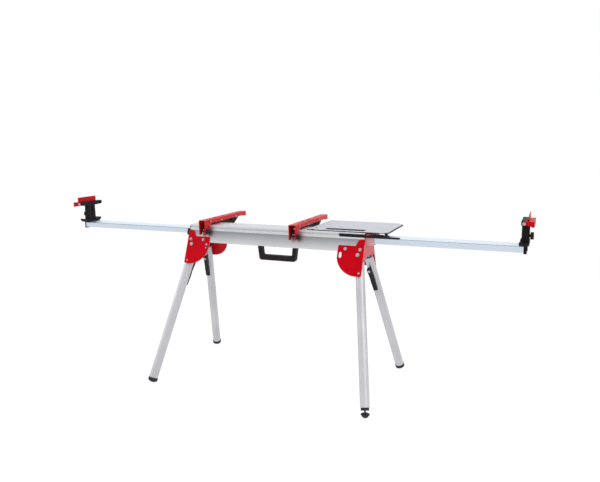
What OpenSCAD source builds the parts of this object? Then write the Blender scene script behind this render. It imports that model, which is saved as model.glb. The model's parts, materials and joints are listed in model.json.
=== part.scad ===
// Folding stand for a miter saw: a beam on four folding legs, with two
// telescoping arms, end supports, tool mounts and a side shelf.
// X runs along the beam, Y to the rear, Z up. The floor is z = 0.

/* [Legs] */
// Length of a leg along its tube, from the pivot to the floor
leg_len = 755.3; // [700:0.1:850]
// Outside diameter of a leg tube
leg_d = 45; // [40:0.5:46]
// Wall of a leg tube
leg_wall = 2; // [1.6:0.1:3]
// Lean of the leg planes, outward from upright
splay = 21.8; // [18:0.1:25]
// Rake of each leg along the beam
leg_rake = 9; // [6:0.5:11]
// Distance of each leg pivot from the beam end
pivot_inset = 24; // [20:1:32]
// Diameter of the leg pivot bolts
pivot_d = 10; // [8:0.5:12]
// Distance of the lock pins from the leg pivots
lock_r = 89; // [84:0.5:95]
// Diameter of the lock pins
lock_d = 11.6; // [8:0.1:12]
// Travel of the lock pins
lock_travel = 7; // [6:0.5:8]
// Height of the plain feet on the legs
foot_h = 27; // [20:1:40]
// Height of the levelling foot below its plug
level_h = 30; // [28:1:40]

/* [Beam] */
// Length of the beam
beam_len = 974; // [860:2:1080]
// Height of the beam top above the leg pivots
beam_rise = 112.3; // [108:0.1:120]
// Half width of the upright band along the beam
band_y = 64; // [62:0.5:66]
// Wall of the beam
beam_wall = 3; // [2.4:0.2:3.6]

/* [Brackets] */
// Thickness of the bracket plates
plate_t = 4; // [3:0.5:5]
// Radius of the curved edge of the bracket plates
plate_r = 106; // [100:1:112]
// Diameter of the bracket bolts
bolt_d = 8; // [6:0.5:9]

/* [Arms] */
// Overhang of each arm tube from the middle of the stand
arm_x = 1210; // [1120:1:1300]
// Length of each arm tube
arm_len = 830; // [780:1:900]
// Width of the outer, right arm
arm_w = 95; // [90:0.5:96]
// Height of the outer, right arm
arm_h = 29.5; // [28:0.1:31]
// Wall of the arms
arm_wall = 2; // [1.6:0.1:2.4]

/* [End supports] */
// Height of the support head above the beam top
head_rise = 95; // [85:1:115]
// Length of the support head
head_len = 178; // [165:1:190]
// Diameter of the pin of the flip stop
stop_pin_d = 10; // [8:0.5:11]
// Height of the flip stop above the head
stop_h = 27; // [20:1:40]
// Diameter of the clamp knob
knob_d = 33; // [28:1:36]

/* [Tool mounts] */
// Middle of the right tool mount
mount_right_x = 123; // [60:0.5:130]
// Middle of the left tool mount
mount_left_x = -392.5; // [-420:0.5:-300]
// Width of a mount bar
mount_w = 37; // [34:0.5:44]
// Reach of a mount bar to the rear
mount_rear = 368; // [330:1:380]
// Diameter of the holes for the tool bolts
tool_hole_d = 9; // [6:0.5:11]

/* [Shelf and handle] */
// Left edge of the side shelf
shelf_x0 = 175; // [165:1:240]
// Right edge of the side shelf
shelf_x1 = 592; // [560:1:620]
// Rear edge of the side shelf
shelf_y1 = 330; // [260:1:350]
// Width of the carry handle
handle_w = 228; // [200:1:260]
// Drop of the carry handle below the beam floor
handle_drop = 120; // [100:1:130]

/* [Hidden] */
$fn = 48;
// Running clearances
fit = 0.05;
gap = 0.3;
slide_gap = 0.5;
// Hip frame: each leg turns in a plane that leans with the brackets
leg_depth = 33;
hip_z = leg_len * cos(leg_rake) * cos(splay);
hip_y = 66.3;
beam_top = hip_z + beam_rise;
beam_x = beam_len / 2;
pivot_x = beam_x - pivot_inset;
floor_t = beam_wall;
channel_h = 37;
roof_t = 2;
roof_z = beam_top - 16;
floor_z = roof_z - roof_t - channel_h - floor_t;
skirt_low = 14.6;
skirt_t = beam_wall;
rib_t = 2.5;
channel_y = 49;
glide_inset = 68;
bead_y = 63;
groove_y = 60;
// Legs
tube_r = leg_d / 2;
tube_in = tube_r - leg_wall;
hip_flange = 26;
tube_s0 = hip_flange + 4;
plug_s = 70;
boss_r = 15;
boss_in = 15;
spacer_r = 11;
cap_t = 2;
leg_drop = cos(leg_rake) * cos(splay);
// Domed feet, with a small flat where they stand
dome_r = 36;
dome_flat = 0.6;
dome_s = leg_len - (dome_r - dome_flat) / leg_drop;
dome_rim = sqrt(pow(dome_r, 2) - pow(tube_r + cap_t, 2));
tube_s1 = dome_s + dome_rim - 1;
level_s = leg_len - level_h / leg_drop;
level_plug_h = 13.4;
level_tube_end = level_s - level_plug_h;
level_stem_r = 4;
// Where the axis of the front right leg meets the pad
level_foot = [
    pivot_x + (leg_len - 11) * sin(leg_rake),
    -hip_y - (leg_len - 11) * cos(leg_rake) * sin(splay)
];
// Lock levers
lever_w = 23;
lever_t = 13.7;
lever_s0 = 72;
lever_s1 = 215;
grip_s = 174;
grip_ramp = 4;
fulcrum_s = 135;
fulcrum_y = tube_r + 7;
fulcrum_r = 2.5;
lever_swing = atan(lock_travel / (fulcrum_s - lock_r));
lever_y = tube_r + 0.8;
lug_w = 8;
stem_r = 3;
stem_hole_r = 5.2;
pin_head_r = 7;
head_y = lever_y + lever_t + (fulcrum_s - lock_r + pin_head_r) * tan(lever_swing) + slide_gap;
// Brackets
plate_in = 104;
plate_out = pivot_inset + plate_t;
plate_top = 44;
ear_v = 78;
bolt_v = 26.4;
bolt_us = [9, -66];
web_top = hip_z + 49;
arch_z = hip_z - 3;
arch_y = 30;
// Fold angles: the left legs lie above the right ones
fold_right = 91;
fold_left = 101;
fold_slot_h = 28;
fold_slot_w = 14;
fold_slot_v = lock_r * (cos(fold_right - leg_rake) + cos(fold_left - leg_rake)) / 2;
nut_h = 6;
// Arms: the left one is the smaller and slides inside the right one
arm_nest = 0.7;
arm_in_w = arm_w - 2 * (arm_wall + arm_nest);
arm_in_h = arm_h - arm_wall - slide_gap;
arm_z = floor_z + floor_t + 5;
collar_len = 42;
lock_knob_y = 60;
lock_knob_z = beam_top - 31;
lever_pin_y = 45.5;
lever_pin_z = beam_top - 7;
// End supports
base_in = 20;
base_out = 22;
base_lip = 14;
wing_y = 66;
wing_z = beam_top - 2;
seat_z = beam_top - 9;
post_in = 12;
post_w = 33;
post_d = 50;
post_wall = 3.5;
post_travel = 18;
head_w = 25;
head_h = 19;
head_z = beam_top + head_rise;
pin_z = head_z - 10;
knob_z = beam_top + 21;
stem_d = 8;
knob_t = 14;
stop_t = 4;
stop_reach = 43;
stop_front = head_len / 2 + 3;
stop_rear = 62;
ear_t = 5;
ear_r = 7;
head_front = stop_front - ear_t - slide_gap;
head_rear = head_len / 2 - 5;
// Tool mounts
mount_t = 3;
cheek_t = 4;
mount_top = beam_top + 29;
bar_front = -105;
bar_low = beam_top + 8;
cheek_low = beam_top - 48;
clamp_y = -87;
clamp_z = beam_top - 30;
jaw_front = clamp_y + 3;
clamp_pin_r = 4;
bar_gap = 0.5;
tool_holes = [-20, 210];
tool_slots = [30, 120];
tool_slot_l = 50;
hook_bolts = [74, 238];
hook_bolt_z = beam_top + 13;
hook_end = 277;
hook_tongue = 36;
hook_rise = 25;
hook_drop = 30;
hook_window = [164, 212];
tie_y = -46;
tie_z = beam_top + 19;
// Shelf
shelf_t = 2;
shelf_y0 = -36;
rail_x0 = beam_x - 132;
rail_x1 = beam_x + 5;
rail_x2 = beam_x + 173;
rail_notch = beam_x + 27;
rail_bolt_step = 55;
rail_bolts = [for (k = [0 : 2]) rail_x0 + 15 + k * rail_bolt_step];
shelf_screw_x = shelf_x0 + 30;
shelf_screw_y = 30;
rail_screw = [shelf_x1 - 8, -28];
slot_from_end = 83;
shelf_slot_x = shelf_x0 + slot_from_end;
shelf_slot_l = 207;
shelf_slot_w = 47;
slot_strip_t = 1.2;
slot_strip_gap = 0.3;
// Handle
handle_d = 28;
grip_h = 29;
limb_w = 22;
limb_lean = 13;
handle_foot_y = 26;
handle_screw_y = 20;

function unit(v) = v / norm(v);
// Closed outline with each corner rounded by its own radius
function rounded(p, r, n = 5) = [
    for (i = [0 : len(p) - 1])
        let (b = p[i],
             a = p[(i + len(p) - 1) % len(p)],
             c = p[(i + 1) % len(p)])
        each r[i] <= 0 ? [b] : corner_arc(b, unit(a - b), unit(c - b), r[i], n)
];
function corner_arc(b, u, w, r, n) =
    let (h = acos(u * w) / 2,
         m = b + unit(u + w) * r / sin(h),
         s = b + u * r / tan(h) - m,
         e = b + w * r / tan(h) - m,
         a0 = atan2(s[1], s[0]),
         d = atan2(e[1], e[0]) - a0,
         turn = d > 180 ? d - 360 : d < -180 ? d + 360 : d)
    [for (k = [0 : n]) m + r * [cos(a0 + turn * k / n), sin(a0 + turn * k / n)]];
// Point of the leaning hip plane, as distance from the middle and height
function hip_point(y, z) = [
    hip_y - y * cos(splay) - z * sin(splay),
    hip_z - y * sin(splay) + z * cos(splay)
];
function hip_rise(y, h) = (h - hip_z + y * sin(splay)) / cos(splay);
function both_sides(p) = concat(p, [for (i = [len(p) - 1 : -1 : 0]) [-p[i][0], p[i][1]]]);

// Sketches: along_x draws Y across and Z up, along_y draws X across and Z up
module along_x(x, l) {
    translate([x, 0, 0]) rotate([90, 0, 90]) linear_extrude(l) children();
}
module along_y(y, l) {
    translate([0, y + l, 0]) rotate([90, 0, 0]) linear_extrude(l) children();
}
// One of the four corners, drawn for the front right
module corner(sx, sy) {
    mirror([sx < 0 ? 1 : 0, 0, 0]) mirror([0, sy > 0 ? 1 : 0, 0]) children();
}
module hip_frame() {
    translate([pivot_x, -hip_y, hip_z]) rotate([-splay, 0, 0]) children();
}
module leg_frame() {
    hip_frame() rotate([0, -leg_rake, 0]) children();
}
module rod(y0, y1, r) {
    translate([0, y1, 0]) rotate([90, 0, 0]) cylinder(h = y1 - y0, r = r);
}
module x_rod(x0, x1, r) {
    translate([x0, 0, 0]) rotate([0, 90, 0]) cylinder(h = x1 - x0, r = r);
}

// Point on the inner face of a skirt at a given height, moved in by a gap
function skirt_point(z, inset) = let (v = skirt_t - leg_depth + plate_t)
    hip_point(v, hip_rise(v, z)) - [inset, 0];
// Height at which a sloped face meets an upright one
function skirt_meet(v, y) = hip_z - v * sin(splay) + (hip_y - v * cos(splay) - y) / tan(splay);
// Beam extrusion: flat top, edge bead, groove, band and sloped skirts
module beam_profile() {
    skirt_y = -(leg_depth - plate_t);
    wall_y = band_y - beam_wall;
    difference() {
        polygon(both_sides([
            [bead_y - 1, beam_top], [bead_y, beam_top - 1], [bead_y, beam_top - 8],
            [groove_y, beam_top - 9.5], [groove_y, beam_top - 12.5],
            [band_y, beam_top - 14], [band_y, skirt_meet(skirt_y, band_y)],
            hip_point(skirt_y, skirt_low),
            hip_point(skirt_y + skirt_t, skirt_low)
        ]));
        polygon(both_sides([
            [wall_y, roof_z - roof_t], [wall_y, skirt_meet(skirt_y + skirt_t, wall_y)],
            hip_point(skirt_y + skirt_t, skirt_low - 30)
        ]));
        translate([-groove_y + beam_wall, roof_z]) square([2 * (groove_y - beam_wall), 16 - beam_wall]);
    }
}
// Tray inside the beam: floor web and two ribs, the channel that the arms run in
module tray_profile() {
    tray_top = floor_z + floor_t;
    rib_top = roof_z - roof_t;
    polygon(both_sides([
        [channel_y, tray_top], [channel_y, rib_top], [channel_y + rib_t, rib_top],
        [channel_y + rib_t, tray_top], skirt_point(tray_top, fit), skirt_point(floor_z, fit)
    ]));
}
module beam_tray() {
    color("gainsboro") difference() {
        along_x(-beam_x, beam_len) tray_profile();
        handle_holes(2.6);
    }
}
module main_beam() {
    color("gainsboro") difference() {
        along_x(-beam_x, beam_len) beam_profile();
        for (sx = [-1, 1], sy = [-1, 1], u = bolt_us)
            corner(sx, sy) hip_frame() translate([u, 0, bolt_v])
                rod(-leg_depth - 2, -leg_depth + 14, bolt_d / 2 + fit);
        for (y = [-shelf_screw_y, shelf_screw_y])
            translate([shelf_screw_x, y, beam_top - 6]) cylinder(h = 8, r = 2.1);
        translate([-beam_x - 1, -lock_knob_y, lock_knob_z]) x_rod(0, 30, 3.1);
    }
}

// Bracket: two plates that lean with the legs, joined by the end web
module plate_outline() {
    intersection() {
        circle(r = plate_r, $fn = 96);
        polygon(rounded([
            [-plate_in, -plate_r], [plate_out, -plate_r], [plate_out, 0], [-plate_in, 0]
        ], [0, 10, 0, 0]));
    }
    polygon(rounded([
        [-plate_in, -1], [plate_out, -1], [plate_out, ear_v], [-2, ear_v - 3],
        [-16, plate_top], [-plate_in, plate_top]
    ], [0, 0, 5, 8, 3, 6]));
}
module web_outline() {
    out = -leg_depth;
    low = -plate_r + 4;
    side = tube_r + 2;
    cut_top = -(hip_flange - 7);
    polygon(both_sides([
        [hip_point(out, hip_rise(out, web_top))[0], web_top],
        hip_point(out, low), hip_point(out + 5, low),
        hip_point(-side, cut_top - 30), hip_point(-side, cut_top),
        hip_point(side - 16, cut_top), [arch_y, arch_z]
    ]));
}
module bracket() {
    difference() {
        union() {
            for (sy = [-1, 1])
                corner(1, sy) hip_frame() along_y(-leg_depth, plate_t) plate_outline();
            along_x(beam_x, plate_t) web_outline();
        }
        for (sy = [-1, 1])
            corner(1, sy) hip_frame() {
                rod(-leg_depth - 1, -leg_depth + plate_t + 1, pivot_d / 2 + fit);
                for (u = bolt_us)
                    translate([u, 0, bolt_v])
                        rod(-leg_depth - 1, -leg_depth + plate_t + 1, bolt_d / 2 + fit);
                rotate([0, -leg_rake, 0]) translate([0, 0, -lock_r])
                    rod(-leg_depth - 1, -leg_depth + plate_t + 1, lock_d / 2 + 0.4);
                translate([-lock_r, 0, 0]) fold_slot();
            }
    }
}
// Slot that takes the lock pin of the folded leg
module fold_slot() {
    half = (fold_slot_h - fold_slot_w) / 2;
    along_y(-leg_depth - 1, plate_t + 2) translate([0, -fold_slot_v]) union() {
        for (s = [-1, 1])
            translate([0, s * half]) circle(d = fold_slot_w);
        square([fold_slot_w, 2 * half], center = true);
    }
}
module bracket_left() { color("firebrick") mirror([1, 0, 0]) bracket(); }
module bracket_right() { color("firebrick") bracket(); }
module bracket_bolts() {
    back = -leg_depth + plate_t + skirt_t;
    color("silver")
        for (sx = [-1, 1], sy = [-1, 1], u = bolt_us)
            corner(sx, sy) hip_frame() translate([u, 0, bolt_v]) {
                rod(-leg_depth - 1.5, -leg_depth, bolt_d);
                difference() {
                    rod(-leg_depth - 5, -leg_depth - 1.5, bolt_d * 0.8);
                    rod(-leg_depth - 6, -leg_depth - 3, bolt_d * 0.36, $fn = 6);
                }
                rod(-leg_depth - 0.1, back + nut_h + 1, bolt_d / 2);
                translate([0, back + nut_h, 0]) rotate([90, 0, 0])
                    cylinder(h = nut_h, r = bolt_d * 0.86, $fn = 6);
            }
}
module leg_pivot_bolts() {
    color("silver")
        for (sx = [-1, 1], sy = [-1, 1])
            corner(sx, sy) hip_frame() {
                rod(-leg_depth - 2, -leg_depth, pivot_d * 0.95);
                rod(-leg_depth - 5.5, -leg_depth - 2, pivot_d * 0.78);
                rod(-leg_depth - 0.1, boss_in + gap + 8, pivot_d / 2);
                translate([0, boss_in + gap + 7, 0]) rotate([90, 0, 0])
                    cylinder(h = 7, r = pivot_d * 0.86, $fn = 6);
            }
}

// Legs
module leg_tube(sx, sy, s1) {
    color("lightgray") corner(sx, sy) leg_frame() difference() {
        translate([0, 0, -s1]) cylinder(h = s1 - tube_s0, r = tube_r, $fn = 96);
        translate([0, 0, -s1 - 1]) cylinder(h = s1 - tube_s0 + 2, r = tube_in, $fn = 96);
        for (a = [45 : 90 : 315])
            rotate([0, 0, a]) translate([tube_r + 0.7, 0, -s1 - 1])
                cylinder(h = s1 - tube_s0 + 2, r = 1.5, $fn = 24);
        translate([0, 0, -lock_r]) rod(-tube_r - 2, tube_r + 2, lock_d / 2 + gap);
    }
}
// Cast hip with its pivot boss, and the saddle that carries the lock lever
module leg_hip(sx, sy) {
    color("darkgray") corner(sx, sy) leg_frame() {
        difference() {
            union() {
                rod(-leg_depth + plate_t + gap, 0, spacer_r);
                rod(-leg_depth + plate_t + 3.5, boss_in, boss_r);
                translate([0, 0, -hip_flange - 1]) cylinder(h = hip_flange - 5, r = boss_r - 1);
                translate([0, 0, -tube_s0]) cylinder(h = tube_s0 - hip_flange, r = tube_r);
                translate([0, 0, -plug_s]) cylinder(h = plug_s - tube_s0 + 1, r = tube_in - fit);
                for (s = [-1, 1])
                    translate([s * 11 - 2.5, -9, -hip_flange - 1]) cube([5, 18, hip_flange - 6]);
            }
            rod(-leg_depth, boss_in + 1, pivot_d / 2 + fit);
            translate([0, 0, -plug_s - 1]) cylinder(h = plug_s - tube_s0 + 1, r = tube_in - 4);
        }
        difference() {
            union() {
                translate([-lug_w / 2, 0, -fulcrum_s - 6]) cube([lug_w, fulcrum_y, 12]);
                translate([0, fulcrum_y, -fulcrum_s]) x_rod(-lug_w / 2, lug_w / 2, 4.5);
                translate([0, fulcrum_y, -fulcrum_s]) x_rod(-lever_w / 2, lever_w / 2, fulcrum_r);
            }
            translate([0, 0, -fulcrum_s - 20]) cylinder(h = 40, r = tube_r, $fn = 96);
        }
    }
}
module below_floor() {
    translate([-2 * leg_len, -2 * leg_len, -foot_h * 4]) cube([4 * leg_len, 4 * leg_len, foot_h * 4]);
}
module dome_outline() {
    intersection() {
        translate([0, -dome_r]) square([tube_r + cap_t, dome_r - dome_rim + 1]);
        circle(r = dome_r, $fn = 96);
    }
}
module leg_foot(sx, sy) {
    color("dimgray") difference() {
        corner(sx, sy) leg_frame() difference() {
            union() {
                translate([0, 0, -dome_s - dome_rim])
                    cylinder(h = dome_s + dome_rim - leg_len + foot_h, r = tube_r + cap_t, $fn = 96);
                translate([0, 0, -dome_s]) rotate_extrude($fn = 96) dome_outline();
            }
            translate([0, 0, -tube_s1]) cylinder(h = 2 * foot_h, r = tube_r + fit, $fn = 96);
        }
        below_floor();
    }
}
// Plug of the front right leg, bored for the levelling screw
module leg_foot_fr() {
    end = level_s - level_plug_h;
    color("dimgray") corner(1, -1) leg_frame() difference() {
        union() {
            translate([0, 0, -level_s]) cylinder(h = level_plug_h, r = tube_r - 3);
            translate([0, 0, -end - 0.01]) cylinder(h = 30, r = tube_in - fit);
        }
        translate([0, 0, -level_s - 1]) cylinder(h = 60, r = level_stem_r + fit);
    }
}
module levelling_screw() {
    stem_top = level_s - 40;
    color("dimgray") difference() {
        union() {
            corner(1, -1) leg_frame() translate([0, 0, -leg_len + 8])
                cylinder(h = leg_len - 8 - stem_top, r = level_stem_r);
            translate(level_foot) rotate_extrude($fn = 64) polygon([
                [0, 0], [6.5, 0], [11, 2], [15.5, 7.5], [20.5, 14.5], [20.5, 16.5],
                [13, 17.5], [7, 19.5], [6, 22], [0, 22]
            ]);
        }
        below_floor();
    }
}

// Lock lever: bent at its fulcrum so that one half clears the tube
module lock_lever(sx, sy) {
    lift = (fulcrum_s - lever_s0) * tan(lever_swing);
    color("dimgray") corner(sx, sy) leg_frame() difference() {
        intersection() {
            along_x(-lever_w / 2, lever_w) polygon(rounded([
                [lever_y + lift, -lever_s0], [lever_y, -fulcrum_s], [lever_y, -lever_s1],
                [lever_y + lever_t - 3, -lever_s1], [lever_y + lever_t - 1, -grip_s - grip_ramp],
                [lever_y + lever_t + 1, -grip_s], [lever_y + lever_t, -fulcrum_s],
                [lever_y + lever_t + lift, -lever_s0]
            ], [1, 0, 1, 3, 0, 0, 0, 3]));
            along_y(lever_y - 2, lever_t + lift + 8) polygon(rounded([
                [-lever_w / 2, -lever_s0], [lever_w / 2, -lever_s0],
                [lever_w / 2 - 1, -lever_s1], [-lever_w / 2 + 1, -lever_s1]
            ], [10, 10, 4, 4], 8));
        }
        translate([0, fulcrum_y, -fulcrum_s]) x_rod(-lever_w, lever_w, fulcrum_r + fit);
        translate([-lug_w / 2 - 0.5, lever_y - 3, -fulcrum_s - 13])
            cube([lug_w + 1, fulcrum_y - lever_y + 8.2, 26]);
        translate([0, 0, -lock_r]) rod(lever_y, lever_y + lever_t + lift + 5, stem_hole_r);
        for (i = [0 : 4])
            translate([0, lever_y + lever_t - 1.3, -grip_s - 10 - 5.5 * i]) x_rod(-8, 8, 1.2, $fn = 16);
    }
}
module lock_pin(sx, sy) {
    color("silver") corner(sx, sy) leg_frame() translate([0, 0, -lock_r]) {
        rod(-leg_depth + plate_t + gap, tube_r + 6, lock_d / 2);
        rod(tube_r, head_y + 1, stem_r);
        rod(head_y, head_y + 3, pin_head_r);
    }
}

// Collars that guide the arms at the beam ends
module collar_right() {
    r = channel_y + 8;
    hole = arm_w / 2 + 0.6;
    color("rosybrown") difference() {
        union() {
            along_x(beam_x, 24) collar_ring(r, arm_z - 10, beam_top - 12);
            along_x(beam_x + 24, collar_len - 24) collar_ring(r - 2, arm_z - 9, beam_top - 13);
            for (x = [beam_x + 9, beam_x + 22])
                translate([x, -50, beam_top - 13]) cube([3, 9, 9.5]);
        }
        translate([beam_x - 1, -hole, arm_z - 0.6]) cube([collar_len + 2, 2 * hole, arm_h + 1.2]);
        translate([beam_x, -lever_pin_y, lever_pin_z]) x_rod(-1, collar_len, 2 + fit);
    }
}
module collar_ring(w, z0, z1) {
    polygon(rounded([[-w, z0], [w, z0], [w, z1], [-w, z1]], [5, 5, 5, 5]));
}
// Stepped reducer for the smaller arm, with a flange over the beam end
module collar_left() {
    hole = arm_in_w / 2 + 0.6;
    color("darkgray") difference() {
        union() {
            along_x(-beam_x - 4, 4) collar_ring(groove_y + 4, arm_z - 7, beam_top - 4);
            translate([-beam_x - 0.01, -channel_y + gap, arm_z - 4.7])
                cube([26, 2 * (channel_y - gap), channel_h - 0.6]);
        }
        translate([-beam_x - 6, -hole, arm_z - 0.6]) cube([60, 2 * hole, arm_in_h + 1.2]);
        translate([-beam_x, -lock_knob_y, lock_knob_z]) x_rod(-6, 6, 3 + fit);
    }
}
// Slim pads that carry the arms on the channel floor
module arm_glides() {
    pad_h = arm_z - floor_z - floor_t - gap;
    color("dimgray")
        for (sx = [-1, 1], sy = [-1, 1])
            corner(sx, sy) translate([beam_x - glide_inset, -channel_y + gap, floor_z + floor_t])
                cube([40, 9, pad_h]);
}
// Oval lock on the left end, turning on a stud along the beam
module arm_lock_left() {
    color("dimgray") translate([-beam_x, -lock_knob_y, lock_knob_z]) {
        x_rod(-6, 14, 3);
        difference() {
            translate([-16, 0, 0]) rotate([90, 0, 90]) linear_extrude(11.7) union() {
                circle(r = 9);
                translate([-3, -16]) circle(r = 11);
                polygon([[-8.9, 1], [9, -0.5], [8, -16], [-14, -16]]);
            }
            translate([-17, -3, -16]) x_rod(0, 3, 7);
        }
    }
}
// Small lever over the right collar
module arm_lock_right() {
    color("firebrick") translate([beam_x + 12.5, -lever_pin_y, lever_pin_z]) {
        x_rod(-3.5, 12.5, 2);
        x_rod(0, 9, 4.2);
        translate([0, -40, 0]) along_x(0, 9) polygon(rounded([
            [40, 4.2], [0, 5], [-4, 9], [-6, 7.5], [-2, 2], [6, 0.8], [40, 0.8]
        ], [0, 2, 1, 1, 2, 2, 0]));
    }
}

// Arms: inverted channels that slide out of the beam
module arm_profile(w, h, t) {
    difference() {
        polygon(rounded([
            [-w / 2, 0], [w / 2, 0], [w / 2, h], [-w / 2, h]
        ], [0, 0, 3, 3]));
        translate([-w / 2 + t, -1]) square([w - 2 * t, h - t + 1]);
    }
}
// Inward lips along the lower edges of the inner arm
module arm_lips(w, t) {
    for (s = [-1, 1])
        translate([s * (w / 2 - t - 3) - 3.1, 0]) square([6.2, t]);
}
module arm_right() {
    color("lightsteelblue") difference() {
        along_x(arm_x - arm_len, arm_len) translate([0, arm_z]) arm_profile(arm_w, arm_h, arm_wall);
        for (x = [arm_x - 25, arm_x - 12])
            translate([x, 0, arm_z + 5]) cylinder(h = 40, r = 2.6);
    }
}
module arm_left() {
    color("lightsteelblue") difference() {
        along_x(-arm_x, arm_len) translate([0, arm_z]) union() {
            arm_profile(arm_in_w, arm_in_h, arm_wall);
            arm_lips(arm_in_w, arm_wall);
        }
        for (x = [arm_x - 25, arm_x - 12])
            translate([-x, 0, arm_z + 5]) cylinder(h = 40, r = 2.6);
    }
}

// End supports, drawn for the right end; h is the height of the arm
module support_side(sx) { mirror([sx < 0 ? 1 : 0, 0, 0]) children(); }
module support_base(sx, w, h) {
    top = arm_z + h;
    rim = post_d / 2 + 2;
    color("dimgray") support_side(sx) difference() {
        union() {
            along_x(arm_x - base_in, base_in + base_out) polygon(rounded([
                [-w / 2 + 6, top], [w / 2 - 6, top], [w / 2 + 6, top + 2], [wing_y, wing_z - 6],
                [wing_y - 3, wing_z], [rim + 10, seat_z + 3], [rim + 2, seat_z + 3], [rim, seat_z],
                [-rim, seat_z], [-rim - 2, seat_z + 3], [-rim - 10, seat_z + 3],
                [3 - wing_y, wing_z], [-wing_y, wing_z - 6], [-w / 2 - 6, top + 2]
            ], [1, 1, 3, 2, 2, 5, 0, 0, 0, 0, 5, 2, 2, 3]));
            translate([arm_x, -w / 2 + 6, arm_z - 7]) cube([base_lip, w - 12, top - arm_z + 8]);
            translate([arm_x + 4, -12, top]) cube([10, 24, knob_z + 8 - top]);
        }
        translate([arm_x + 6, -w / 2 + 12, arm_z - 8]) cube([base_out, w - 24, top - arm_z + 2]);
        translate([0, 0, knob_z]) x_rod(arm_x, arm_x + 20, stem_d / 2 + fit);
    }
}
// Post and head: hollow post with slots, cross head with bored ends
module support_post(sx) {
    foot = seat_z + gap;
    x0 = arm_x - post_in;
    neck = head_z - head_h;
    color("dimgray") support_side(sx) difference() {
        union() {
            along_x(x0, post_w) polygon([
                [-post_d / 2 - 2, foot], [post_d / 2 + 2, foot],
                [post_d / 2 - 1, neck + 1], [-post_d / 2 + 1, neck + 1]
            ]);
            along_x(x0 - 1, head_w) polygon(rounded([
                [-head_front, neck], [-30, neck - 3], [30, neck - 3],
                [head_rear, neck], [head_rear, head_z], [-head_front, head_z]
            ], [6, 6, 6, 6, 1, 1]));
            along_x(x0 + 23, 10) polygon([
                [-post_d / 2 + 1, neck], [post_d / 2 - 1, neck],
                [post_d / 2 - 4, neck + 5], [-post_d / 2 + 4, neck + 5]
            ]);
        }
        translate([x0 + post_wall, -post_d / 2 + post_wall + 1, foot - 1])
            cube([post_w - 2 * post_wall, post_d - 2 * post_wall - 2, neck - foot - 4]);
        along_x(x0 + post_w - post_wall - 1, post_wall + 2) stadium(knob_z - post_travel, knob_z, 9);
        along_x(x0 - 1, post_w + 2) stadium(knob_z + 16, neck - 11, 9);
        along_x(x0 - 1, post_wall + 2) stadium(knob_z, knob_z, 9);
        translate([arm_x - 1, 0, pin_z]) rod(-head_len, head_len, stop_pin_d / 2 + 0.02);
        translate([x0 - 2, stop_rear - slide_gap, pin_z - ear_r - slide_gap])
            cube([head_w + 3, ear_t + 2 * slide_gap, 30]);
        for (slot = [[6 - head_front, 44], [30, 22]])
            translate([x0 + 6, slot[0], head_z - 9]) cube([4, slot[1], 10]);
    }
}
module stadium(z0, z1, w) {
    for (z = [z0, z1]) translate([0, z]) circle(d = w);
    if (z1 > z0) translate([-w / 2, z0]) square([w, z1 - z0]);
}
// Flip stop: two ears on the pin, a shelf plate, an outer lip and a flange
module flip_stop(sx) {
    px = arm_x - 1;
    tip = px + stop_reach;
    front = -stop_front;
    plate_x = px + 17;
    color("firebrick") support_side(sx) difference() {
        union() {
            for (y = [front, stop_rear])
                along_y(y, ear_t) polygon(rounded([
                    [px - ear_r, pin_z - ear_r], [px + 14, pin_z - ear_r], [tip, pin_z - 17],
                    [tip, head_z], [px + 8, head_z], [px - ear_r, pin_z + ear_r]
                ], [6.5, 5, 3, 0, 2, 6.5]));
            translate([plate_x, front, head_z - stop_t])
                cube([tip - plate_x, stop_rear + ear_t - front, stop_t]);
            translate([tip - stop_t, front, pin_z - 15])
                cube([stop_t, stop_rear + ear_t - front, head_z - pin_z + 15]);
            along_x(plate_x, stop_t) polygon(rounded([
                [front + 12, head_z - 1], [stop_rear + ear_t, head_z - 1],
                [stop_rear + ear_t, head_z + stop_h], [front + 12, head_z + stop_h]
            ], [0, 0, 3, 3]));
        }
        translate([px, 0, pin_z]) rod(-head_len, head_len, stop_pin_d / 2 + fit);
        for (y = [-60, -20, 20])
            translate([tip - 11, y - 9, head_z - 10]) cube([4.5, 18, 12]);
    }
}
module stop_pin(sx) {
    color("silver") support_side(sx) translate([arm_x - 1, 0, pin_z]) {
        rod(-stop_front, head_rear + 1, stop_pin_d / 2);
        rod(-stop_front - 3, -stop_front - gap, stop_pin_d / 2 + 2);
        rod(-stop_front - 1, -stop_front + 1, stop_pin_d / 2);
        rod(head_rear, head_rear + 9, stop_pin_d * 0.8);
    }
}
module support_knob(sx) {
    x0 = arm_x - post_in + post_w;
    color("dimgray") support_side(sx) translate([0, 0, knob_z]) difference() {
        union() {
            x_rod(arm_x + 5, x0 + 5, stem_d / 2);
            x_rod(x0 + gap, x0 + 4, stem_d / 2 + 3);
            x_rod(x0 + 3.5, x0 + 3.5 + knob_t, knob_d / 2);
        }
        for (a = [0 : 60 : 300])
            rotate([a, 0, 0]) translate([0, knob_d / 2 + 2.5, 0]) x_rod(x0 + 3, x0 + 20, 5.5);
        x_rod(x0 + knob_t + 1.5, x0 + knob_t + 6, knob_d / 5);
    }
}

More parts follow.
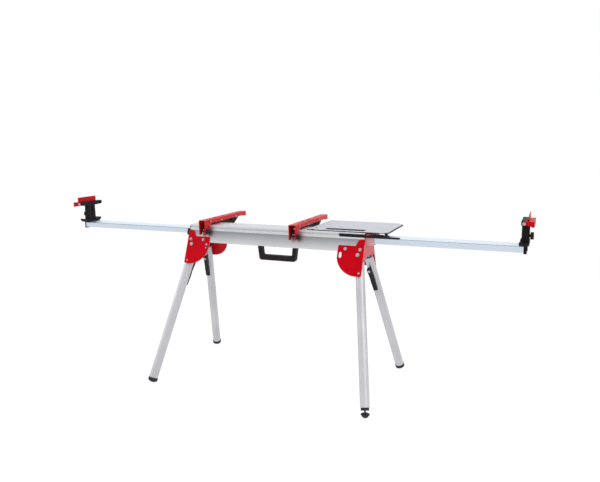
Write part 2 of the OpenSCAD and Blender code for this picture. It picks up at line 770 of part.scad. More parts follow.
// Tool mounts, drawn about the middle of the bar
module bar_side() {
    low = beam_top + bar_gap;
    edge = -band_y - 1.5;
    polygon(rounded([
        [bar_front, mount_top], [bar_front + 3, clamp_z + 6], [bar_front + 3, cheek_low],
        [clamp_y + 8, cheek_low], [clamp_y + 12, clamp_z - 2], [edge, beam_top - 20],
        [edge, low], [edge + 20, low], [edge + 38, bar_low], [mount_rear - 60, bar_low],
        [mount_rear, bar_low - 7], [mount_rear, mount_top]
    ], [4, 0, 6, 6, 5, 5, 0, 3, 20, 20, 1, 2]));
}
module mount_bar(x) {
    color("indianred") translate([x, 0, 0]) difference() {
        along_x(-mount_w / 2, mount_w) bar_side();
        translate([-mount_w / 2 + cheek_t, bar_front - 1, cheek_low - 1])
            cube([mount_w - 2 * cheek_t, mount_rear - bar_front + 5, mount_top - mount_t - cheek_low + 1]);
        for (y = tool_holes)
            translate([0, y, mount_top - 10]) cylinder(h = 20, r = tool_hole_d / 2);
        for (y = tool_slots)
            translate([0, y, mount_top - 10])
                linear_extrude(20) rotate(90) stadium_x(tool_slot_l, tool_hole_d);
        translate([0, clamp_y, clamp_z]) x_rod(-mount_w, mount_w, clamp_pin_r + fit);
        translate([0, tie_y, tie_z]) x_rod(-mount_w, mount_w, 3 + fit);
        for (y = hook_bolts)
            translate([0, y, hook_bolt_z]) x_rod(-mount_w, mount_w, 3 + fit);
    }
}
module stadium_x(l, w) {
    for (s = [-1, 1]) translate([s * (l - w) / 2, 0]) circle(d = w);
    square([l - w, w], center = true);
}
// Rear hook: reaches under the rear bead of the beam, below the bar
module mount_hook(x) {
    w = mount_w - 2 * cheek_t - 1;
    color("dimgray") translate([x, 0, 0]) difference() {
        along_x(-w / 2, w) polygon(rounded([
            [-hook_tongue, beam_top + bar_gap], [-hook_tongue, bar_low + 3],
            [bead_y - 14, bar_low + 3], [bead_y + 1.5, beam_top + hook_rise],
            [hook_end - 7, beam_top + hook_rise],
            [hook_end, beam_top + 3], [hook_end * 0.8, beam_top - hook_drop],
            [hook_end * 0.54, beam_top - hook_drop + 8], [bead_y + 14, beam_top - hook_drop / 2],
            [band_y + 2, beam_top - 13], [groove_y + 1, beam_top - 11.8],
            [groove_y + 1, beam_top - 9.2], [bead_y + 0.7, beam_top - 8.8],
            [bead_y + 0.7, beam_top + bar_gap]
        ], [0, 1, 1, 2, 4, 4, 16, 12, 8, 0, 0, 0, 0, 0]));
        along_x(-w, 2 * w) polygon(rounded([
            [hook_window[0], bar_low - 1], [hook_window[1], bar_low - 1],
            [hook_window[1] - 6, beam_top - 7], [hook_window[0] + 10, beam_top - 5]
        ], [2, 3, 4, 4]));
        for (y = hook_bolts)
            translate([0, y, hook_bolt_z]) x_rod(-mount_w, mount_w, 3 + fit);
    }
}
// Jaw between the cheeks: its toe grips the front bead from below
module mount_jaw(x) {
    w = mount_w - 2 * cheek_t - 1;
    jaw_arm = 3.5;
    color("dimgray") translate([x, 0, 0]) difference() {
        along_x(-w / 2, w) union() {
            translate([clamp_y, clamp_z]) circle(r = clamp_pin_r + 3);
            polygon(rounded([
                [clamp_y - 5, clamp_z - 3], [clamp_y + 5, clamp_z - 3],
                [-band_y - 5.5, beam_top - 20], [-band_y - 2, beam_top - 15],
                [-groove_y - 1.8, beam_top - 12.2],
                [-groove_y - 1.8, beam_top - 9.8], [-bead_y - 2, beam_top - 9.8],
                [-bead_y - 3, beam_top - 3], [-bead_y - 8, beam_top + 3],
                [jaw_front, beam_top - 4]
            ], [0, 0, 2, 1, 0, 0, 0, 2, 3, 3]));
        }
        translate([jaw_arm - w / 2, clamp_y - 20, clamp_z - 12]) cube([w - 2 * jaw_arm, 40, 24]);
        translate([0, clamp_y, clamp_z]) x_rod(-mount_w, mount_w, clamp_pin_r + 0.02);
    }
}
module mount_knob(x) {
    side = mount_w / 2;
    color("dimgray") translate([x, clamp_y, clamp_z]) difference() {
        union() {
            x_rod(-side - 1, side + 5, clamp_pin_r);
            x_rod(-side - 3, -side - gap, clamp_pin_r + 2);
            x_rod(side + gap, side + 3, 7.5);
            x_rod(side + 2.5, side + 12, 11.5);
        }
        for (a = [0 : 45 : 315])
            rotate([a, 0, 0]) translate([0, 13, 0]) x_rod(side + 2, side + 13, 2.6);
    }
}
// Cross bolts that tie the cheeks together
module mount_bolts(x) {
    side = mount_w / 2;
    color("silver") translate([x, 0, 0])
        for (p = [[tie_y, tie_z], for (y = hook_bolts) [y, hook_bolt_z]])
            translate([0, p[0], p[1]]) {
                x_rod(-side - 3.5, side + 3.5, 3);
                x_rod(side, side + 3, 5.5);
                x_rod(-side - 3, -side, 5.5, $fn = 6);
            }
}

// Side shelf: slotted sheet on the beam top, with its rails
module shelf_plate() {
    color("gainsboro") translate([0, 0, beam_top]) linear_extrude(shelf_t) difference() {
        polygon(rounded([
            [shelf_x0, shelf_y0], [shelf_x1, shelf_y0], [shelf_x1, shelf_y1 - 44],
            [shelf_x1 - 34, shelf_y1], [shelf_x0, shelf_y1]
        ], [4, 8, 5, 5, 4]));
        shelf_slot(0);
        shelf_screw_places() circle(r = 2.1);
    }
}
module shelf_slot(inset) {
    x0 = shelf_slot_x + inset;
    x1 = shelf_slot_x + shelf_slot_l - inset;
    y0 = inset - 2;
    y1 = shelf_slot_w - 2 - inset;
    polygon(rounded([[x0, y0], [x1, y0], [x1, y1], [x0, y1]], [5, 5, 5, 5]));
}
module shelf_screw_places() {
    for (y = [-shelf_screw_y, shelf_screw_y]) translate([shelf_screw_x, y]) children();
    translate(rail_screw) children();
}
module shelf_rail() {
    top = beam_top - 5;
    color("dimgray") {
        difference() {
            union() {
                translate([rail_x0, 0, 0]) along_y(-band_y - 5, 5) polygon(rounded([
                    [0, top], [rail_x1 - rail_x0, top], [rail_x1 - rail_x0 + 6, top - 5],
                    [rail_notch - rail_x0, top - 5], [rail_notch - rail_x0 + 3, beam_top - gap],
                    [shelf_x1 - rail_x0 - 12, beam_top - gap], [shelf_x1 - rail_x0, top - 5],
                    [rail_x2 - rail_x0, top - 5], [rail_x2 - rail_x0, top - 13],
                    [rail_x1 - rail_x0, top - 14], [6, top - 14]
                ], [3, 0, 2, 1, 1, 3, 2, 2, 2, 2, 3]));
                translate([shelf_x1 - 14, -band_y - 5, top - 13]) cube([22, band_y - 20, 10]);
                translate([shelf_x1 - 14, shelf_y0, top - 5]) cube([12, 16, 10]);
            }
            translate(rail_screw) cylinder(h = 2 * beam_top, r = 2.1);
            for (x = rail_bolts) translate([x, 0, top - 10]) rod(-band_y - 6, -band_y + 1, 2.1);
        }
        translate([shelf_x0 + 4, shelf_y0 - 3, beam_top]) cube([shelf_x1 - shelf_x0 - 12, 3, 3]);
        translate([0, 0, beam_top]) linear_extrude(slot_strip_t) shelf_slot(slot_strip_gap);
    }
}
module shelf_screws() {
    color("silver") {
        for (x = rail_bolts)
            translate([x, 0, beam_top - 15]) {
                rod(-band_y - 5.1, -band_y, 2);
                rod(-band_y - 6.2, -band_y - 5, 3.5);
            }
        translate([0, 0, beam_top]) shelf_screw_places() {
            translate([0, 0, shelf_t]) cylinder(h = 2, r = 5);
            translate([0, 0, -4]) cylinder(h = shelf_t + 5, r = 2);
        }
    }
}

// Carry handle below the beam
module carry_handle() {
    top = floor_z;
    low = floor_z - handle_drop;
    hw = handle_w / 2;
    color("dimgray") difference() {
        union() {
            intersection() {
                along_y(-handle_d / 2, handle_d) difference() {
                    polygon(rounded([
                        [-hw - 2, top], [limb_lean - hw, low], [hw - limb_lean, low], [hw + 2, top]
                    ], [0, 16, 16, 0], 8));
                    polygon(rounded([
                        [limb_w - hw, top + 1], [limb_w + limb_lean - hw - 4, low + grip_h],
                        [hw - limb_w - limb_lean + 4, low + grip_h], [hw - limb_w, top + 1]
                    ], [0, 8, 8, 0]));
                }
                along_x(-handle_w, 2 * handle_w) polygon(rounded([
                    [-handle_d / 2, low], [handle_d / 2, low],
                    [handle_d / 2, top], [-handle_d / 2, top]
                ], [8, 8, 0, 0]));
            }
            for (s = [-1, 1])
                translate([s * (hw - limb_w / 2 + 1) - limb_w / 2 - 1, -handle_foot_y, top - 5])
                    cube([limb_w + 1, 2 * handle_foot_y, 5]);
        }
        handle_holes(2.6);
        for (i = [-2.5 : 2.5])
            translate([i * handle_w / 9.5, 0, low + grip_h - 2]) rod(-handle_d, handle_d, 1.5, $fn = 16);
    }
}
module handle_holes(r) {
    for (sx = [-1, 1], sy = [-1, 1])
        translate([sx * (handle_w / 2 - limb_w / 2), sy * handle_screw_y, floor_z - 20])
            cylinder(h = 40, r = r);
}
module handle_screws() {
    color("silver")
        for (sx = [-1, 1], sy = [-1, 1])
            translate([sx * (handle_w / 2 - limb_w / 2), sy * handle_screw_y, floor_z]) {
                translate([0, 0, -6]) cylinder(h = 8.5, r = 2.5);
                translate([0, 0, -8]) cylinder(h = 3, r = 4.5);
            }
}

main_beam();
beam_tray();
bracket_left();
bracket_right();
bracket_bolts();
leg_pivot_bolts();
collar_left();
collar_right();
arm_glides();
carry_handle();
handle_screws();
shelf_plate();
shelf_rail();
shelf_screws();
leg_tube(1, -1, level_tube_end);  // leg_tube_fr
leg_hip(1, -1);  // leg_hip_fr
leg_foot_fr();
lock_lever(1, -1);  // lock_lever_fr
lock_pin(1, -1);  // lock_pin_fr
leg_tube(-1, -1, tube_s1);  // leg_tube_fl
leg_hip(-1, -1);  // leg_hip_fl
leg_foot(-1, -1);  // leg_foot_fl
lock_lever(-1, -1);  // lock_lever_fl
lock_pin(-1, -1);  // lock_pin_fl
leg_tube(1, 1, tube_s1);  // leg_tube_rr
leg_hip(1, 1);  // leg_hip_rr
leg_foot(1, 1);  // leg_foot_rr
lock_lever(1, 1);  // lock_lever_rr
lock_pin(1, 1);  // lock_pin_rr
leg_tube(-1, 1, tube_s1);  // leg_tube_rl
leg_hip(-1, 1);  // leg_hip_rl
leg_foot(-1, 1);  // leg_foot_rl
lock_lever(-1, 1);  // lock_lever_rl
lock_pin(-1, 1);  // lock_pin_rl
levelling_screw();
arm_right();
arm_left();
arm_lock_right();
arm_lock_left();
support_base(1, arm_w, arm_h);  // support_base_right
support_post(1);  // support_post_right
flip_stop(1);  // flip_stop_right
stop_pin(1);  // stop_pin_right
support_knob(1);  // support_knob_right
support_base(-1, arm_in_w, arm_in_h);  // support_base_left
support_post(-1);  // support_post_left
flip_stop(-1);  // flip_stop_left
stop_pin(-1);  // stop_pin_left
support_knob(-1);  // support_knob_left
mount_bar(mount_right_x);  // mount_bar_right
mount_hook(mount_right_x);  // mount_hook_right
mount_jaw(mount_right_x);  // mount_jaw_right
mount_knob(mount_right_x);  // mount_knob_right
mount_bolts(mount_right_x);  // mount_bolts_right
mount_bar(mount_left_x);  // mount_bar_left
mount_hook(mount_left_x);  // mount_hook_left
mount_jaw(mount_left_x);  // mount_jaw_left
mount_knob(mount_left_x);  // mount_knob_left
mount_bolts(mount_left_x);  // mount_bolts_left
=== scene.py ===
"""Looks of the folding miter saw stand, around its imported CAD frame."""

import json
import math

import bmesh
import bpy
from mathutils import Matrix, Vector


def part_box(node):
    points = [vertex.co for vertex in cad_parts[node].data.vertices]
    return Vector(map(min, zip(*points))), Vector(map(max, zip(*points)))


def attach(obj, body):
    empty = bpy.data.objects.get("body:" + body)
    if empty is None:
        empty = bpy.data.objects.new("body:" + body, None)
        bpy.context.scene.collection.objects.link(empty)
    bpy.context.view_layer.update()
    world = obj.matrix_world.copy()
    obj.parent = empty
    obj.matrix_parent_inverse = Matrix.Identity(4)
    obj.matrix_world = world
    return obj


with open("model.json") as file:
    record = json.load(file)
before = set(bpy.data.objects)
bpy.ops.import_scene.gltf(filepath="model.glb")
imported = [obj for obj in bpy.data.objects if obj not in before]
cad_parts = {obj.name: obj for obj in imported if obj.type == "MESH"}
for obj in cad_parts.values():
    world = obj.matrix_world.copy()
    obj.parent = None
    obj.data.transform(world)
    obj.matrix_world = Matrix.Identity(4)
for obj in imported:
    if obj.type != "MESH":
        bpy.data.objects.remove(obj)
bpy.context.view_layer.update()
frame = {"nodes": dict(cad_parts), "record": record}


nodes = frame["nodes"]
scene = bpy.context.scene


# Shader nodes
def feed(tree, source, socket):
    """Sets a number or colour on a socket, or links an output to it."""
    if isinstance(source, (int, float)):
        socket.default_value = source
    elif isinstance(source, (tuple, list)):
        socket.default_value = (*source, 1)
    else:
        tree.links.new(source, socket)


def math_node(tree, kind, a, b):
    """The result of a Math node on two numbers or outputs."""
    node = tree.nodes.new("ShaderNodeMath")
    node.operation = kind
    feed(tree, a, node.inputs[0])
    feed(tree, b, node.inputs[1])
    return node.outputs[0]


def range_node(tree, source, start, end, low, high):
    """Maps the source's stretch from start to end onto low to high, held beyond both."""
    node = tree.nodes.new("ShaderNodeMapRange")
    values = {"From Min": start, "From Max": end, "To Min": low, "To Max": high}
    for key, value in values.items():
        node.inputs[key].default_value = value
    tree.links.new(source, node.inputs["Value"])
    return node


def background_rays(tree):
    """1 for the camera, glossy and transmission rays, which meet the white background."""
    path = tree.nodes.new("ShaderNodeLightPath")
    seen = path.outputs["Is Camera Ray"]
    for ray in ("Is Glossy Ray", "Is Transmission Ray"):
        seen = math_node(tree, "MAXIMUM", seen, path.outputs[ray])
    return seen


# Materials: texture scales are features per metre, depths and radii are metres
WHITE = (1, 1, 1)
BEVEL_SAMPLES = 4
# Between these two a noise texture has most of its values
NOISE_LOW, NOISE_HIGH = 0.3, 0.7
# Cosine between a face and its rounded normal, on an open face and where an edge counts in full
EDGE_OPEN, EDGE_FULL = 0.97, 0.80


def scaled(color, times, plus=0.0):
    """A colour made darker or paler, at most white."""
    return [min(1, c * times + plus) for c in color]


class Look:
    """A procedural material on a Principled shader, in object coordinates."""

    def __init__(self, name, color, rough, metal=0.0, shine=0.5, bevel=0.0006):
        self.mat = bpy.data.materials.new(name)
        self.mat.use_nodes = True
        self.mat.diffuse_color = (*color, 1)
        self.tree = self.mat.node_tree
        self.shader = self.tree.nodes["Principled BSDF"]
        self.shader.inputs["Metallic"].default_value = metal
        self.shader.inputs["Specular IOR Level"].default_value = shine
        self.coords = self.add("ShaderNodeTexCoord").outputs["Object"]
        self.color = color
        self.rough = rough
        self.normal = self.rounded(bevel)

    def add(self, kind):
        return self.tree.nodes.new(kind)

    def link(self, a, b):
        self.tree.links.new(a, b)

    def math(self, kind, a, b):
        return math_node(self.tree, kind, a, b)

    def ranged(self, source, start, end, low, high):
        return range_node(self.tree, source, start, end, low, high).outputs["Result"]

    def band(self, source, rise, fall):
        """1 between a rising and a falling stretch of the source, 0 outside them."""
        up = self.ranged(source, *rise, 0.0, 1.0)
        down = self.ranged(source, *fall, 1.0, 0.0)
        return self.math("MULTIPLY", up, down)

    def rounded(self, radius):
        """The normal as if every edge had this radius."""
        node = self.add("ShaderNodeBevel")
        node.samples = BEVEL_SAMPLES
        node.inputs["Radius"].default_value = radius
        return node.outputs["Normal"]

    def noise(self, scale, detail, rough=0.5, coords=None):
        node = self.add("ShaderNodeTexNoise")
        node.inputs["Scale"].default_value = scale
        node.inputs["Detail"].default_value = detail
        node.inputs["Roughness"].default_value = rough
        self.link(coords or self.coords, node.inputs["Vector"])
        return node.outputs["Fac"]

    def lines(self, across, along, axis, detail, turn=(0, 0, 0)):
        """Noise drawn out along one axis of a piece; turn gives the piece's own axes."""
        scale = [1 / across] * 3
        scale[axis] = 1 / along
        node = self.add("ShaderNodeMapping")
        node.vector_type = "TEXTURE"
        node.inputs["Scale"].default_value = scale
        node.inputs["Rotation"].default_value = turn
        self.link(self.coords, node.inputs["Vector"])
        return self.noise(1.0, detail, coords=node.outputs["Vector"])

    def cells(self, scale):
        node = self.add("ShaderNodeTexVoronoi")
        node.inputs["Scale"].default_value = scale
        self.link(self.coords, node.inputs["Vector"])
        return node.outputs["Distance"]

    def upward(self, vector):
        """The Z share of a vector output."""
        node = self.add("ShaderNodeSeparateXYZ")
        self.link(vector, node.inputs[0])
        return node.outputs["Z"]

    def height(self):
        """Height above the floor at rest, in metres."""
        return self.upward(self.coords)

    def normal_z(self):
        """The upward share of a face's own direction, in object space."""
        return self.upward(self.add("ShaderNodeTexCoord").outputs["Normal"])

    def level(self):
        """1 on level faces, above or below, and 0 on upright ones."""
        return self.math("ABSOLUTE", self.normal_z(), 0.0)

    def edges(self, radius):
        """1 along edges, 0 on open faces."""
        dot = self.add("ShaderNodeVectorMath")
        dot.operation = "DOT_PRODUCT"
        self.link(self.rounded(radius), dot.inputs[0])
        self.link(self.add("ShaderNodeNewGeometry").outputs["Normal"], dot.inputs[1])
        return self.ranged(dot.outputs["Value"], EDGE_OPEN, EDGE_FULL, 0.0, 1.0)

    def tint(self, color, factor):
        """Mixes another colour in by a factor output."""
        node = self.add("ShaderNodeMix")
        node.data_type = "RGBA"
        self.link(factor, node.inputs[0])
        feed(self.tree, self.color, node.inputs[6])
        feed(self.tree, color, node.inputs[7])
        self.color = node.outputs[2]

    def patch(self, color, source, start, full, amount):
        """Mixes a colour in as the source goes from start to full, by amount at most."""
        self.tint(color, self.ranged(source, start, full, 0.0, amount))

    def edge_wear_and_shade(self, color, radius, amount):
        """Mixes a colour in along the edges, by a number or an output: wear, and painted shade on
        the sheet's edges.
        """
        self.tint(color, self.math("MULTIPLY", self.edges(radius), amount))

    def roughen(self, source, by):
        """Varies the roughness up and down with the source."""
        change = self.ranged(source, NOISE_LOW, NOISE_HIGH, -by, by)
        self.rough = self.math("ADD", self.rough, change)

    def bump(self, source, depth):
        node = self.add("ShaderNodeBump")
        node.inputs["Distance"].default_value = depth
        self.link(source, node.inputs["Height"])
        self.link(self.normal, node.inputs["Normal"])
        self.normal = node.outputs["Normal"]

    def done(self):
        feed(self.tree, self.color, self.shader.inputs["Base Color"])
        feed(self.tree, self.rough, self.shader.inputs["Roughness"])
        self.link(self.normal, self.shader.inputs["Normal"])
        return self.mat


def extruded(name, color, rough, axis, stain, turn=(0, 0, 0), skirt_painted_shade=None):
    """Satin extruded metal: die lines and hair scratches along its axis, soft stains.

    The last argument paints shade on sloped sides: its colour, and the heights where it starts and
    is full.
    """
    m = Look(name, color, rough, metal=1.0)
    die = m.lines(across=520.0, along=1.2, axis=axis, detail=4.0, turn=turn)
    hair = m.lines(across=1500.0, along=9.0, axis=axis, detail=2.0, turn=turn)
    cloud = m.noise(7.0, detail=4.0)
    m.patch(stain, cloud, start=0.42, full=0.75, amount=0.45)
    m.patch(scaled(color, 0.8), die, start=0.5, full=0.72, amount=0.4)
    # Painted shade on the sloped faces, darker higher up
    if skirt_painted_shade:
        shade, foot, head = skirt_painted_shade
        slope = m.band(m.normal_z(), rise=(0.12, 0.3), fall=(0.45, 0.65))
        risen = m.ranged(m.height(), foot, head, 0.05, 0.95)
        m.tint(shade, m.math("MULTIPLY", slope, risen))
    m.roughen(cloud, by=0.06)
    m.roughen(hair, by=0.05)
    m.bump(die, depth=0.00006)
    m.bump(hair, depth=0.00003)
    return m.done()


def coated(name, color, rough=0.42, shine=0.15, chip=(0.16, 0.14, 0.14), glint=WHITE):
    """Powder coat: orange peel, faint clouding and thin wear on the edges.

    chip is the colour of a worn edge, and glint that of a reflection met head-on.
    """
    m = Look(name, color, rough, shine=shine)
    m.shader.inputs["Specular Tint"].default_value = (*glint, 1)
    m.patch(scaled(color, 0.72), m.noise(9.0, detail=4.0), start=0.45, full=0.8, amount=0.5)
    rubbed = m.ranged(m.noise(60.0, detail=5.0), 0.52, 0.66, 0.0, 0.7)
    m.edge_wear_and_shade(chip, radius=0.0012, amount=rubbed)
    m.roughen(m.noise(24.0, detail=3.0), by=0.06)
    m.bump(m.noise(1300.0, detail=2.0), depth=0.00005)
    m.bump(m.noise(260.0, detail=2.0), depth=0.00004)
    return m.done()


def moulded(name, color, rough=0.5, rubbed=1.9, shine=0.1):
    """Moulded plastic: fine spark grain, paler rubbed edges, dusty clouding.

    rubbed says how many times paler the edges are than the faces.
    """
    m = Look(name, color, rough, shine=shine)
    dust = m.noise(18.0, detail=5.0)
    m.patch(scaled(color, 1.45, plus=0.004), dust, start=0.5, full=0.8, amount=0.5)
    m.edge_wear_and_shade(scaled(color, rubbed, plus=0.01), radius=0.0009, amount=0.45)
    m.roughen(dust, by=0.08)
    m.bump(m.cells(1700.0), depth=0.00005)
    m.bump(m.noise(1020.0, detail=2.0), depth=0.000035)
    return m.done()


def sheet_metal(name, color):
    """Painted thin sheet: fine peel and clouding on its faces, cut edges darkened as painted shade.
    """
    m = Look(name, color, rough=0.45, shine=0.3)
    m.patch(scaled(color, 0.86), m.noise(6.0, detail=4.0), start=0.42, full=0.75, amount=0.5)
    # Painted shade: upright cut edges and a thin band along every edge darkened
    m.patch((0.06, 0.055, 0.055), m.level(), start=0.75, full=0.45, amount=0.95)
    m.edge_wear_and_shade((0.07, 0.065, 0.065), radius=0.0024, amount=0.9)
    m.roughen(m.noise(30.0, detail=3.0), by=0.06)
    m.bump(m.noise(1100.0, detail=2.0), depth=0.00004)
    m.bump(m.noise(220.0, detail=2.0), depth=0.00003)
    return m.done()


def plated(name, color):
    """Zinc plated steel: faint crystal patches under a fine matt skin."""
    m = Look(name, color, rough=0.28, metal=1.0, bevel=0.0004)
    m.patch(scaled(color, 0.78), m.cells(240.0), start=0.2, full=0.7, amount=0.5)
    m.roughen(m.noise(90.0, detail=4.0), by=0.08)
    m.bump(m.noise(1200.0, detail=3.0), depth=0.00004)
    return m.done()


def galvanised(name, color, rough, axis, dark):
    """Rolled zinc: streaks along the tube, soft spangle, painted dark corners and a painted top
    highlight.
    """
    m = Look(name, color, rough, metal=0.85)
    streak = m.lines(across=160.0, along=0.8, axis=axis, detail=5.0)
    spangle = m.cells(70.0)
    m.patch(scaled(color, 0.84), streak, start=0.48, full=0.74, amount=0.5)
    m.patch(scaled(color, 1.08), spangle, start=0.1, full=0.6, amount=0.35)
    # Painted dark reflection on the rounded corners between level and upright faces
    corner = m.band(m.level(), rise=(0.12, 0.3), fall=(0.75, 0.95))
    m.tint(dark, m.math("MULTIPLY", corner, 0.9))
    # Painted highlight: faces turned upward made paler
    m.patch(scaled(color, 1.18), m.normal_z(), start=0.8, full=0.95, amount=0.9)
    m.roughen(spangle, by=0.05)
    m.roughen(streak, by=0.04)
    m.bump(streak, depth=0.000015)
    return m.done()


def cast(name, color):
    """Sand-cast metal with a coarse skin."""
    m = Look(name, color, rough=0.5, metal=0.9)
    skin = m.noise(420.0, detail=6.0, rough=0.7)
    m.patch(scaled(color, 0.7), skin, start=0.45, full=0.7, amount=0.6)
    m.roughen(skin, by=0.08)
    m.bump(skin, depth=0.00016)
    return m.done()


def rubber(name, color):
    """Rubber foot: matt, scuffed grey in patches and along its edges."""
    m = Look(name, color, rough=0.75, shine=0.25)
    scuff = m.noise(130.0, detail=6.0, rough=0.65)
    m.patch(scaled(color, 2.4), scuff, start=0.55, full=0.8, amount=0.4)
    m.edge_wear_and_shade(scaled(color, 2.0, plus=0.01), radius=0.001, amount=0.35)
    m.bump(scuff, depth=0.00012)
    m.bump(m.noise(1400.0, detail=2.0), depth=0.00004)
    return m.done()


# Axes that profiles lie along, and colours
ALONG_X, ALONG_Z = 0, 2
RED = (0.70, 0.0012, 0.0075)
RED_GLINT = (1.0, 0.04, 0.1)
GREY_CHIP = (0.12, 0.12, 0.12)

# Painted shade on the beam's sloped sides, darker higher up: how far below its top it starts and is
# full
SKIRT_FOOT, SKIRT_HEAD = 0.083, 0.030
BEAM_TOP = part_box("main_beam")[1][2]
SKIRT_PAINTED_SHADE = ((0.27, 0.275, 0.29), BEAM_TOP - SKIRT_FOOT, BEAM_TOP - SKIRT_HEAD)

# One material for each slot of the record, under the slot's own name
FINISHES = {
    "beam_aluminium": (
        extruded,
        dict(
            color=(0.66, 0.665, 0.69),
            rough=0.4,
            axis=ALONG_X,
            stain=(0.57, 0.575, 0.60),
            skirt_painted_shade=SKIRT_PAINTED_SHADE,
        ),
    ),
    # dark is the colour of the painted reflection on the arms' rounded corners
    "arm_zinc": (
        galvanised,
        dict(color=(0.64, 0.72, 0.81), rough=0.4, axis=ALONG_X, dark=(0.10, 0.105, 0.13)),
    ),
    "red_paint": (coated, dict(color=RED, rough=0.28, shine=0.8, glint=RED_GLINT)),
    "red_mount": (coated, dict(color=(0.66, 0.008, 0.014), shine=0.5, glint=RED_GLINT)),
    "red_stop": (coated, dict(color=(0.66, 0.007, 0.013), shine=0.5, glint=RED_GLINT)),
    "red_lever": (moulded, dict(color=(0.45, 0.006, 0.014), rough=0.4, rubbed=1.3, shine=0.25)),
    "zinc_steel": (plated, dict(color=(0.46, 0.46, 0.47))),
    "grey_plastic": (moulded, dict(color=(0.36, 0.36, 0.38), rubbed=1.2, shine=0.25)),
    # Pale grey collar with painted reflection of the red parts round it, which makes it pink
    "collar_plastic": (moulded, dict(color=(0.84, 0.44, 0.45), rough=0.45, rubbed=1.2, shine=0.25)),
    "black_plastic": (moulded, dict(color=(0.012, 0.0098, 0.0098), rough=0.48)),
    "handle_plastic": (moulded, dict(color=(0.028, 0.023, 0.022), rough=0.55)),
    "lever_plastic": (moulded, dict(color=(0.030, 0.027, 0.028))),
    "knob_plastic": (moulded, dict(color=(0.026, 0.024, 0.027))),
    "black_steel": (
        coated,
        dict(color=(0.026, 0.021, 0.021), rough=0.6, shine=0.06, chip=GREY_CHIP),
    ),
    "shelf_steel": (sheet_metal, dict(color=(0.66, 0.66, 0.73))),
    "cast_grey": (cast, dict(color=(0.42, 0.42, 0.45))),
    "foot_rubber": (rubber, dict(color=(0.038, 0.034, 0.038))),
}
LOOKS = {slot: make(slot, **finish) for slot, (make, finish) in FINISHES.items()}

# The photograph shows these screws as dark as their rail
DARK_SCREWS = {"shelf_screws": "black_steel"}


def middle(node):
    """The middle of a CAD node's box."""
    low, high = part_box(node)
    return (Vector(low) + Vector(high)) / 2


def leg_look(corner):
    """Leg tube metal, with its die lines along this leg."""
    axis = middle("leg_hip_" + corner) - middle("leg_foot_" + corner)
    turn = axis.to_track_quat("Z", "Y").to_euler()
    return extruded(
        "leg_aluminium_" + corner,
        (0.60, 0.60, 0.625),
        rough=0.5,
        axis=ALONG_Z,
        stain=(0.50, 0.50, 0.52),
        turn=turn,
    )


for entry in frame["record"]["subparts"]:
    name = entry["node"]
    slot = DARK_SCREWS.get(name, entry["material_slot"])
    materials = nodes[name].data.materials
    materials.clear()
    materials.append(leg_look(name[-2:]) if slot == "leg_aluminium" else LOOKS[slot])


# Black strip on the shelf's right edge as painted shade of that edge: its reach over the plate, its
# thickness and how far it hangs below
SHADE_STRIP_LIP = 0.0028
SHADE_STRIP_WALL = 0.0012
SHADE_STRIP_DROP = 0.0036
# A point of the plate this near to its right side is on the edge
EDGE_REACH = 0.0002


def shade_strip_section(top, bottom):
    """The strip's outline, as distances out from the shelf's edge and heights."""
    crown = top + SHADE_STRIP_WALL * 0.5
    hem = bottom - SHADE_STRIP_DROP
    return [
        (-SHADE_STRIP_LIP, top),
        (-SHADE_STRIP_LIP, crown),
        (SHADE_STRIP_WALL * 0.3, crown),
        (SHADE_STRIP_WALL * 0.8, top + SHADE_STRIP_WALL * 0.2),
        (SHADE_STRIP_WALL, top - SHADE_STRIP_WALL * 0.3),
        (SHADE_STRIP_WALL, hem + SHADE_STRIP_WALL * 0.4),
        (SHADE_STRIP_WALL * 0.7, hem),
        (SHADE_STRIP_WALL * 0.3, hem),
        (0.0, hem + SHADE_STRIP_WALL * 0.4),
        (0.0, top),
    ]


def shelf_edge_shade_strip(name, slot, body):
    """A black strip along the right edge of the side shelf, from corner to corner: painted shade of
    that edge, made as a piece.
    """
    low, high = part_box("shelf_plate")
    right = high[0]
    plate = nodes["shelf_plate"].data.vertices
    edge = [v.co.y for v in plate if v.co.x > right - EDGE_REACH]
    section = shade_strip_section(high[2], low[2])
    count = len(section)
    verts = [(right + x, y, z) for y in (min(edge), max(edge)) for x, z in section]
    faces = [tuple(range(count)), tuple(range(2 * count - 1, count - 1, -1))]
    for k in range(count):
        after = (k + 1) % count
        faces.append((k, k + count, after + count, after))
    mesh = bpy.data.meshes.new(name)
    mesh.from_pydata(verts, [], faces)
    mesh.validate()
    bm = bmesh.new()
    bm.from_mesh(mesh)
    bmesh.ops.recalc_face_normals(bm, faces=bm.faces)
    bm.to_mesh(mesh)
    bm.free()
    mesh.materials.append(LOOKS[slot])
    shade_strip = bpy.data.objects.new(name, mesh)
    scene.collection.objects.link(shade_strip)
    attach(shade_strip, body)


shelf_edge_shade_strip("shelf_edge_shade_strip", "black_plastic", "stand_frame")


# Stage: the distances over which the floor goes from shaded to plain white
STAGE_NEAR, STAGE_FAR = 1.6, 4.5
# Its colour near the stand, and the share of that colour by which it glows less there
STAGE_SHADE = 0.22
STAGE_LEVEL = 0.55
# Its colour for the light that it throws back at the stand
STAGE_BOUNCE = 0.93
FLOOR_HALF = 14
FLOOR_HEIGHT = -0.0006


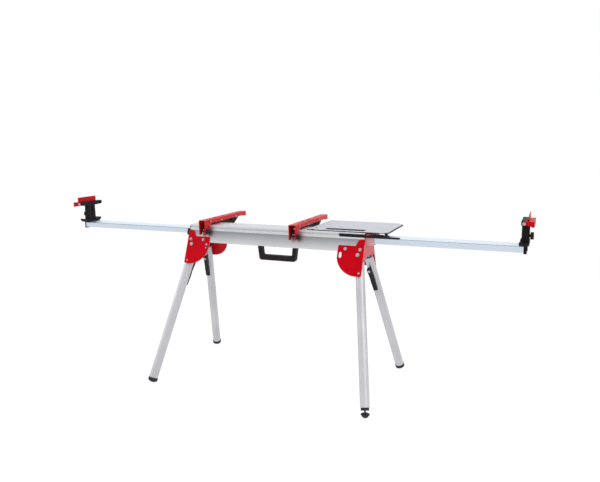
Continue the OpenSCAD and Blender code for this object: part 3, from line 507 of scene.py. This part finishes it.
def stage_material(name):
    """Plain pale floor: shows near white and keeps a soft shadow round the feet.

    Near the stand the seen floor glows a little less and takes light and shadow instead.
    To all other rays it is a pale floor that throws light back at the stand.
    """
    mat = bpy.data.materials.new(name)
    mat.use_nodes = True
    tree = mat.node_tree
    tree.nodes.clear()
    out = tree.nodes.new("ShaderNodeOutputMaterial")
    total = tree.nodes.new("ShaderNodeAddShader")
    diffuse = tree.nodes.new("ShaderNodeBsdfDiffuse")
    glow = tree.nodes.new("ShaderNodeEmission")
    seen = background_rays(tree)
    place = tree.nodes.new("ShaderNodeTexCoord")
    away = tree.nodes.new("ShaderNodeVectorMath")
    away.operation = "LENGTH"
    tree.links.new(place.outputs["Object"], away.inputs[0])
    fade = range_node(tree, away.outputs["Value"], STAGE_NEAR, STAGE_FAR, STAGE_SHADE, 0.0)
    fade.interpolation_type = "SMOOTHSTEP"
    near = fade.outputs["Result"]
    lit = math_node(tree, "SUBTRACT", 1.0, math_node(tree, "MULTIPLY", near, STAGE_LEVEL))
    feed(tree, math_node(tree, "MULTIPLY", lit, seen), glow.inputs["Strength"])
    drop = math_node(tree, "MULTIPLY", math_node(tree, "SUBTRACT", near, STAGE_BOUNCE), seen)
    feed(tree, math_node(tree, "ADD", drop, STAGE_BOUNCE), diffuse.inputs["Color"])
    tree.links.new(diffuse.outputs[0], total.inputs[0])
    tree.links.new(glow.outputs[0], total.inputs[1])
    tree.links.new(total.outputs[0], out.inputs[0])
    return mat


def stage_floor(name):
    """One wide square just under the feet."""
    square = [(-1, -1), (1, -1), (1, 1), (-1, 1)]
    corners = [(x * FLOOR_HALF, y * FLOOR_HALF, FLOOR_HEIGHT) for x, y in square]
    mesh = bpy.data.meshes.new(name)
    mesh.from_pydata(corners, [], [(0, 1, 2, 3)])
    mesh.materials.append(stage_material(name))
    floor = bpy.data.objects.new(name, mesh)
    scene.collection.objects.link(floor)


stage_floor("stage_floor")


# World
FILL_COLOR = (0.97, 0.985, 1.0)
FILL_STRENGTH = 0.62


def background(tree, color, strength):
    node = tree.nodes.new("ShaderNodeBackground")
    feed(tree, color, node.inputs["Color"])
    feed(tree, strength, node.inputs["Strength"])
    return node.outputs[0]


def studio_world(name):
    """White where the camera and reflections see it, a soft fill light elsewhere."""
    world = scene.world or bpy.data.worlds.new(name)
    scene.world = world
    world.use_nodes = True
    tree = world.node_tree
    tree.nodes.clear()
    out = tree.nodes.new("ShaderNodeOutputWorld")
    mix = tree.nodes.new("ShaderNodeMixShader")
    tree.links.new(background_rays(tree), mix.inputs[0])
    tree.links.new(background(tree, FILL_COLOR, FILL_STRENGTH), mix.inputs[1])
    tree.links.new(background(tree, WHITE, 1.0), mix.inputs[2])
    tree.links.new(mix.outputs[0], out.inputs[0])


studio_world("studio")


# Lights
def soft_light(name, place, target, size, power):
    """A rectangular lamp aimed at a point; sizes in metres, power in watts."""
    data = bpy.data.lights.new(name, "AREA")
    data.shape = "RECTANGLE"
    data.size, data.size_y = size
    data.energy = power
    lamp = bpy.data.objects.new(name, data)
    lamp.location = place
    aim = Vector(target) - Vector(place)
    lamp.rotation_euler = aim.to_track_quat("-Z", "Y").to_euler()
    scene.collection.objects.link(lamp)


soft_light("key_right", place=(3.8, -1.5, 3.2), target=(0.2, 0, 0.5), size=(3.0, 2.8), power=44)
soft_light("fill_left", place=(-4.2, -1.2, 2.2), target=(-0.3, 0, 0.6), size=(2.2, 2.6), power=16)
soft_light("top", place=(0.2, 0.8, 4.4), target=(0, 0, 0.6), size=(3.6, 2.0), power=24)


# Camera, fitted to the photograph: pixels, degrees and metres
PHOTO_WIDTH = 600.0
FOCAL_PX = 631.5
SENSOR_WIDTH = 36.0
VIEW_END = 60.0
PITCH, HEADING, ROLL = 9.521, 22.371, -0.399
CAMERA_PLACE = (1.3417, -2.9586, 1.2752)


def turned(degrees, axis):
    return Matrix.Rotation(math.radians(degrees), 3, axis)


def photo_camera(name):
    """The camera at the photograph's viewpoint, looking PITCH degrees down."""
    data = bpy.data.cameras.new(name)
    data.sensor_fit = "HORIZONTAL"
    data.sensor_width = SENSOR_WIDTH
    data.lens = SENSOR_WIDTH * FOCAL_PX / PHOTO_WIDTH
    data.clip_end = VIEW_END
    camera = bpy.data.objects.new(name, data)
    camera.location = CAMERA_PLACE
    turn = turned(HEADING, "Z") @ turned(90 - PITCH, "X") @ turned(ROLL, "Z")
    camera.rotation_euler = turn.to_euler()
    scene.collection.objects.link(camera)
    return camera


scene.camera = photo_camera("camera")
scene.view_settings.view_transform = "Standard"
